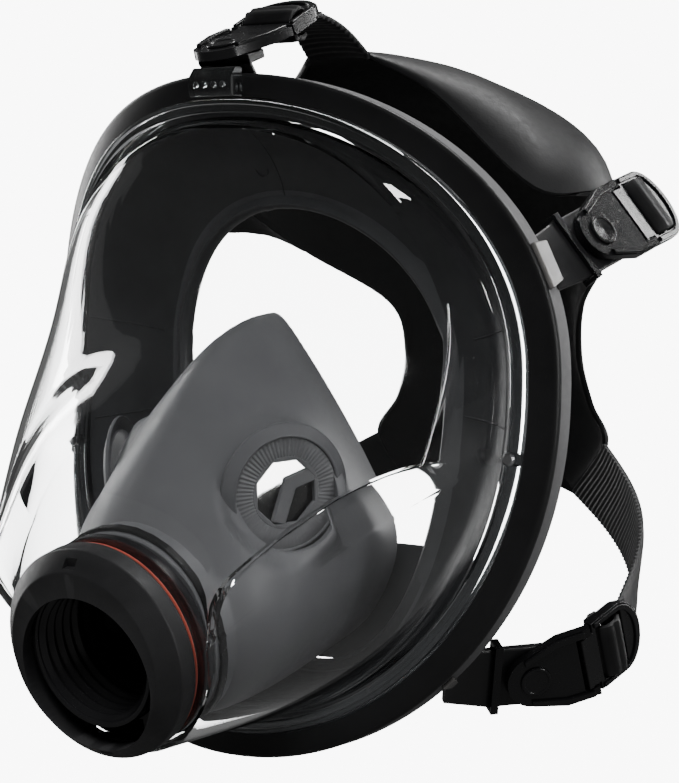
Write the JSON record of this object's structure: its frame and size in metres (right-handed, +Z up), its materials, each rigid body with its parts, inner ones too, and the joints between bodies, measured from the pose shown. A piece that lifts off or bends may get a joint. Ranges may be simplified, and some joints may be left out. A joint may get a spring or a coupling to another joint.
{
  "type": "full face respirator",
  "caption": "Full face respirator with a clear panoramic visor, threaded front port, inner nose cup and a rubber head harness on swivelling buckles.",
  "frame": {"origin": "centre of the face opening at the rim's widest height, in the plane of the rim's top and bottom", "axes": "+Z up the face, -Y out through the visor, +Y back towards the wearer's head, +X to the wearer's left"},
  "size_m": [0.2076, 0.2229, 0.2334],
  "materials": {
    "black_rubber": "satin moulded rubber",
    "harness_rubber": "matt ribbed rubber",
    "grey_rubber": "smooth grey rubber",
    "red_rubber": "smooth",
    "black_plastic": "fine matt moulded",
    "clear_plastic": "clear polished polycarbonate",
    "valve_silicone": "clear silicone",
    "steel": "plain"
  },
  "bodies": {
    "mask": {"face_piece": "black_rubber", "visor": "clear_plastic", "upper_lens_ring": "clear_plastic", "lower_lens_ring": "clear_plastic", "lens_ring_screw_left": "steel", "lens_ring_screw_right": "steel", "top_clip": "clear_plastic", "connector_body": "black_plastic", "retaining_cap": "black_plastic", "red_o_ring": "red_rubber", "connector_seal_washer": "black_rubber", "cup_clamp_ring": "black_plastic", "inhalation_valve_seat": "black_plastic", "nose_cup": "grey_rubber", "chin_cup": "black_rubber", "cup_valve_seat_left": "grey_rubber", "cup_valve_seat_right": "grey_rubber", "head_harness": "harness_rubber", "swivel_stud_top": "black_plastic", "swivel_stud_left_temple": "black_plastic", "swivel_stud_right_temple": "black_plastic", "swivel_stud_left_lower": "black_plastic", "swivel_stud_right_lower": "black_plastic", "lug_collar_left_temple": "black_plastic", "lug_collar_right_temple": "black_plastic", "lug_collar_left_lower": "black_plastic", "lug_collar_right_lower": "black_plastic"},
    "buckle_top": {"buckle_base_top": "black_plastic", "hinge_pin_top": "steel"},
    "lock_top": {"ladder_lock_top": "black_plastic", "strap_end_top": "harness_rubber"},
    "buckle_left_temple": {"buckle_base_left_temple": "black_plastic", "hinge_pin_left_temple": "steel"},
    "lock_left_temple": {"ladder_lock_left_temple": "black_plastic", "strap_end_left_temple": "harness_rubber"},
    "buckle_right_temple": {"buckle_base_right_temple": "black_plastic", "hinge_pin_right_temple": "steel"},
    "lock_right_temple": {"ladder_lock_right_temple": "black_plastic", "strap_end_right_temple": "harness_rubber"},
    "buckle_left_lower": {"buckle_base_left_lower": "black_plastic", "hinge_pin_left_lower": "steel"},
    "lock_left_lower": {"ladder_lock_left_lower": "black_plastic", "strap_end_left_lower": "harness_rubber"},
    "buckle_right_lower": {"buckle_base_right_lower": "black_plastic", "hinge_pin_right_lower": "steel"},
    "lock_right_lower": {"ladder_lock_right_lower": "black_plastic", "strap_end_right_lower": "harness_rubber"},
    "inhalation_disc": {"inhalation_valve_disc": "valve_silicone"},
    "exhalation_disc": {"exhalation_valve_disc": "valve_silicone"},
    "cup_flap_left": {"cup_valve_flap_left": "valve_silicone"},
    "cup_flap_right": {"cup_valve_flap_right": "valve_silicone"}
  },
  "joints": [
    {"name": "swivel_top", "type": "hinge", "parent": "mask", "child": "buckle_top", "pos_m": [0, 0.0015, 0.0976], "axis": [0, -0.3102, 0.9507], "range_deg": [-15, 15], "deforming": ["head_harness"]},
    {"name": "lock_tilt_top", "type": "hinge", "parent": "buckle_top", "child": "lock_top", "pos_m": [0, 0.01707, 0.10468], "axis": [1, 0, 0], "range_deg": [0, 35], "deforming": ["strap_end_top"]},
    {"name": "swivel_left_temple", "type": "hinge", "parent": "mask", "child": "buckle_left_temple", "pos_m": [0.0935, 0.064, 0.043], "axis": [0.836, -0.1945, 0.5131], "range_deg": [-15, 15], "deforming": ["head_harness"]},
    {"name": "lock_tilt_left_temple", "type": "hinge", "parent": "buckle_left_temple", "child": "lock_left_temple", "pos_m": [0.09577, 0.07985, 0.04901], "axis": [0.5472, 0.2271, -0.8056], "range_deg": [0, 35], "deforming": ["strap_end_left_temple"]},
    {"name": "swivel_right_temple", "type": "hinge", "parent": "mask", "child": "buckle_right_temple", "pos_m": [-0.0935, 0.064, 0.043], "axis": [-0.836, -0.1945, 0.5131], "range_deg": [-15, 15], "deforming": ["head_harness"]},
    {"name": "lock_tilt_right_temple", "type": "hinge", "parent": "buckle_right_temple", "child": "lock_right_temple", "pos_m": [-0.09577, 0.07985, 0.04901], "axis": [0.5472, -0.2271, 0.8056], "range_deg": [0, 35], "deforming": ["strap_end_right_temple"]},
    {"name": "swivel_left_lower", "type": "hinge", "parent": "mask", "child": "buckle_left_lower", "pos_m": [0.078, 0.0536, -0.091], "axis": [0.7375, -0.5622, -0.3743], "range_deg": [-15, 15], "deforming": ["head_harness"]},
    {"name": "lock_tilt_left_lower", "type": "hinge", "parent": "buckle_left_lower", "child": "lock_left_lower", "pos_m": [0.09077, 0.06418, -0.08681], "axis": [-0.0946, 0.4627, -0.8814], "range_deg": [0, 35], "deforming": ["strap_end_left_lower"]},
    {"name": "swivel_right_lower", "type": "hinge", "parent": "mask", "child": "buckle_right_lower", "pos_m": [-0.078, 0.0536, -0.091], "axis": [-0.7375, -0.5622, -0.3743], "range_deg": [-15, 15], "deforming": ["head_harness"]},
    {"name": "lock_tilt_right_lower", "type": "hinge", "parent": "buckle_right_lower", "child": "lock_right_lower", "pos_m": [-0.09077, 0.06418, -0.08681], "axis": [-0.0946, -0.4627, 0.8814], "range_deg": [0, 35], "deforming": ["strap_end_right_lower"]},
    {"name": "inhalation_lift", "type": "slide", "parent": "mask", "child": "inhalation_disc", "axis": [0, 0.9668, 0.2554], "range_m": [0, 0.0012], "stiffness_N_per_m": 5, "springref_m": -0.0005},
    {"name": "exhalation_lift", "type": "slide", "parent": "mask", "child": "exhalation_disc", "axis": [0, -0.9668, -0.2554], "range_m": [0, 0.0012], "stiffness_N_per_m": 20, "springref_m": -0.0005},
    {"name": "cup_flap_lift_left", "type": "slide", "parent": "mask", "child": "cup_flap_left", "axis": [-0.8315, 0.5009, -0.2404], "range_m": [0, 0.001], "stiffness_N_per_m": 5, "springref_m": -0.0005},
    {"name": "cup_flap_lift_right", "type": "slide", "parent": "mask", "child": "cup_flap_right", "axis": [0.8315, 0.5009, -0.2404], "range_m": [0, 0.001], "stiffness_N_per_m": 5, "springref_m": -0.0005}
  ]
}
